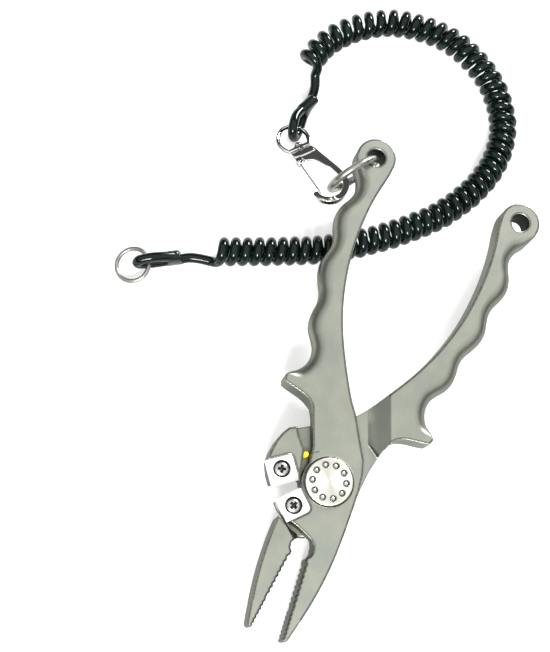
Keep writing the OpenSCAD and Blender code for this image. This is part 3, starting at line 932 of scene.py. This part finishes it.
HOOK = [(0.6, 3.6, 0), (7, 5.3, 0), (13.3, 6.8, 0), (17.8, 7.1, 0), (21.2, 5.7, 0), (23.6, 2.6, 0),
        (23.7, -1, 0), (21.9, -4, 0), (19.8, -5.1, 0), (18.1, -5.2, 0)]
BAIL = [(-2.9, -3.9, 0), (-5.2, -5.3, 0), (-8.4, -5.7, 0), (-11.4, -4.4, 0), (-13.8, -1.6, 0),
        (-13.8, 1.6, 0), (-11.4, 4.4, 0), (-8.4, 5.7, 0), (-5.2, 5.3, 0), (-2.9, 3.9, 0)]
BAIL_WIRE = 0.85
PIN = (3.1, -3.4)
HOOK_WIDE, HOOK_TAPER = 1.2, 0.15
HOOK_FLAT, BAR_FLAT, SWIVEL_FLAT = 1.1, 1.5, 1.4
WEB_END, NOSE_BELOW, CLOSEST_POINTS = 10.2, 2, 0.12
WEB_CURVE = [(1.5, -1.6, 0), (3.4, -1.4, 0), (4.2, 0.2, 0), (5.2, 1.9, 0), (7.2, 3.1, 0), (9.6, 4.2, 0)]
EAR = [(1.3, -4.3), (3.1, -4.45), (4.0, -4.0), (4.2, -3.2), (3.7, -2.2), (1.3, -1.8)]
EAR_THICK = 0.7
EAR_LEVELS = {"low": -1.45, "high": 0.78}
HOOK_BAR = [(-1.4, -4.4), (1.6, -4.4), (1.6, 4.4), (-1.4, 4.4)]
SWIVEL_BAR = [(-3.6, -4.5), (-2.0, -4.5), (-2.0, 4.5), (-3.6, 4.5)]


def bevelled(obj, width):
    """Breaks the piece's sharp edges; the width is in metres."""
    edges = {"width": width, "segments": 3, "limit_method": "ANGLE", "angle_limit": math.radians(30)}
    baked(obj, ("BEVEL", edges))
    obj.data.shade_smooth()
    obj.data.set_sharp_from_angle(angle=math.radians(40))


def plated_block(name, outline, low, high, body, edge):
    verts, faces = prism(outline, low, high)
    block = piece(name, verts, faces, PLATE, body, CLIP, smooth=False)
    bevelled(block, edge * MM)
    return block


def hook_outline():
    """The casting seen from above: base, web with a concave cut-out, arm, bow and nose."""
    line = curve_through(HOOK, 8)
    outer, inner = [], []
    n = len(line)
    for i, p in enumerate(line):
        t = (line[min(i + 1, n - 1)] - line[max(i - 1, 0)]).normalized()
        side = Vector((-t.y, t.x, 0))
        half = HOOK_WIDE - HOOK_TAPER * i / n
        outer.append((p + side * half)[:2])
        inner.append((p - side * half)[:2])
    web = curve_through(WEB_CURVE, 4)
    keep = [p for p in inner if p[0] > WEB_END or p[1] < NOSE_BELOW]
    outline = [(-1.4, -4.3), (-1.4, 4.4), (0.4, 4.9)] + outer[4:] + [(17.6, -5.2)]
    outline += keep[::-1] + [tuple(p[:2]) for p in web[::-1]] + [(1.5, -4.3)]
    clean = [outline[0]]
    for p in outline[1:]:
        if math.dist(p, clean[-1]) > CLOSEST_POINTS:
            clean.append(tuple(p))
    return clean


def make_hook():
    """Flat cast hook with two ears for the gate's pin and a thicker bar at its base."""
    casting = plated_block("hook_casting", hook_outline(), -HOOK_FLAT, HOOK_FLAT, "clip", 0.55)
    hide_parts("hook_body")
    for level, z in EAR_LEVELS.items():
        ear = plated_block(f"gate_ear_{level}", EAR, z, z + EAR_THICK, "clip", 0.18)
        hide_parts("hook_body")
    bar = plated_block("hook_base_bar", HOOK_BAR, -BAR_FLAT, BAR_FLAT, "clip", 0.5)
    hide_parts("hook_body")


GATE_TIP = 18.7
GATE_WIDE, GATE_TALL = 0.4, 0.45
GATE_TAPER, GATE_TAPER_FROM, GATE_TAPER_LENGTH = 0.12, 0.93, 0.07
GATE_EYE = [(0.56, -0.4), (0.95, -0.45), (1.1, -0.3), (1.1, 0.3), (0.95, 0.45), (0.56, 0.4), (0.56, -0.4)]
GATE_RIVET = [(0, -1.75), (0.35, -1.72), (0.55, -1.6), (0.5, -1.4), (0.5, 1.4), (0.55, 1.6), (0.35, 1.72),
              (0, 1.75)]


def gate_half_widths(s):
    less = GATE_TAPER * max(0, s - GATE_TAPER_FROM) / GATE_TAPER_LENGTH
    return GATE_WIDE - less, GATE_TALL - less


def make_gate():
    """Thin wire gate: an eye on the pin and a straight leg with a narrower tip."""
    leg = curve_through([(x, PIN[1] + 0.1, 0) for x in (PIN[0] + 0.9, 8, 14, GATE_TIP)], 5)
    v, f = swept(leg, gate_half_widths, 16)
    wire = piece("gate_wire", v, f, PLATE, "gate", CLIP)
    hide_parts("hook_gate")
    at_pin = CLIP @ Matrix.Translation((*PIN, 0))
    v, f = lathe(GATE_EYE, 40)
    eye = piece("gate_eye", v, f, PLATE, "gate", at_pin)
    weld(eye, 1e-8)
    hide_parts("hook_gate")
    v, f = lathe(GATE_RIVET, 32)
    pin = piece("gate_rivet", v, f, PLATE, "clip", at_pin)
    weld(pin, 1e-8)
    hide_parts("gate_pin")


SWIVEL_RIVET = [(0, -5.35), (0.7, -5.3), (1.35, -5.05), (1.8, -4.5), (1.9, -4.0), (1.85, -3.68),
                (1.05, -3.68), (1.05, -1.4), (0, -1.4)]


def make_swivel():
    """Wire bow on a bar, and the rivet that the hook turns on."""
    v, f = swept(curve_through(BAIL, 10), lambda s: (BAIL_WIRE, BAIL_WIRE), 20)
    bail = piece("swivel_bow", v, f, PLATE, FRONT, CLIP)
    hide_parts("swivel_bail")
    bar = plated_block("swivel_bar", SWIVEL_BAR, -SWIVEL_FLAT, SWIVEL_FLAT, FRONT, 0.4)
    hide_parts("swivel_bail")
    turn = CLIP @ Matrix.Rotation(math.radians(90), 4, "Y")
    v, f = lathe(SWIVEL_RIVET, 48)
    post = piece("swivel_rivet", v, f, PLATE, "clip", turn)
    weld(post, 1e-8)
    post.data.set_sharp_from_angle(angle=math.radians(50))
    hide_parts("swivel_post")


def dress_cad(node, material):
    """Gives a CAD node that keeps its own shape its material."""
    obj = bpy.data.objects[node]
    if not obj.data.materials:
        obj.data.materials.append(material)
    for i in range(len(obj.material_slots)):
        obj.material_slots[i].material = material


# ---- stage ----

def make_stage():
    """Pale floor, a weak white world, one wide light from above and two small windows."""
    bpy.ops.mesh.primitive_plane_add(size=6, location=(0, 0, 0))
    floor = bpy.context.object
    floor.name = "floor"
    floor.data.materials.append(FLOOR)
    world = bpy.data.worlds.new("studio")
    bpy.context.scene.world = world
    world.use_nodes = True
    world.node_tree.nodes["Background"].inputs["Color"].default_value = (1, 1, 1, 1)
    world.node_tree.nodes["Background"].inputs["Strength"].default_value = 0.09
    soft_box("ceiling", (0.1, -0.45, 0.9), 2.6, 2.2, 24, straight_down=True)
    soft_box("window_back", (0.2, 1.0, 0.55), 0.34, 0.28, 24)
    soft_box("window_front", (0.15, -0.7, 0.7), 0.3, 0.24, 18)
    bpy.context.scene.view_settings.view_transform = "Standard"


def soft_box(name, at, wide, tall, power, straight_down=False):
    data = bpy.data.lights.new(name, "AREA")
    data.shape = "RECTANGLE"
    data.size, data.size_y = wide, tall
    data.energy = power
    light = bpy.data.objects.new(name, data)
    bpy.context.scene.collection.objects.link(light)
    light.location = at
    if not straight_down:
        light.rotation_euler = (Vector((0, 0.03, 0)) - Vector(at)).to_track_quat("-Z", "Y").to_euler()


# ---- everything, camera and cord first ----

BLASTED = blasted_metal()
TURNED = turned_steel()
GROUND = ground_steel()
SCREW_STEEL = screw_steel()
RING_STEEL = ring_steel()
PLATE = bright_plate()
YELLOW = yellow_nylon()
CORD_PLASTIC = cord_plastic()
SLEEVE_PLASTIC = sleeve_plastic()
BRONZE = bearing_bronze()
PAINTED_SHADE_STEEL = painted_shade_steel()
FLOOR = pale_floor()

make_camera()
cord, cord_length = make_cord()
sleeve = make_sleeve("eye_sleeve", "lanyard_sleeve", SLEEVE_ENDS)
end_sleeve = make_sleeve("end_eye_sleeve", "end_sleeve", END_SLEEVE_ENDS)

rounded_half("front_half", "front_half_metal", FRONT, -1)
rounded_half("rear_half", "rear_half_metal", REAR, 1)
make_cap()
make_bolt_head()
make_bumper()
for rear in (False, True):
    side = "rear" if rear else "front"
    body = REAR if rear else FRONT
    make_plate(f"{side}_plate", f"{side}_cutter", body, rear)
    make_screw(f"{side}_screw", f"{side}_cutter_screw", body, rear)
make_ring()
make_hook()
make_gate()
make_swivel()
dress_cad("pivot_bush", BRONZE)
dress_cad("thrust_washer", BRONZE)
dress_cad("gate_spring", RING_STEEL)
dress_cad("swivel_washer", PLATE)
dress_cad("end_ring", RING_STEEL)
make_stage()
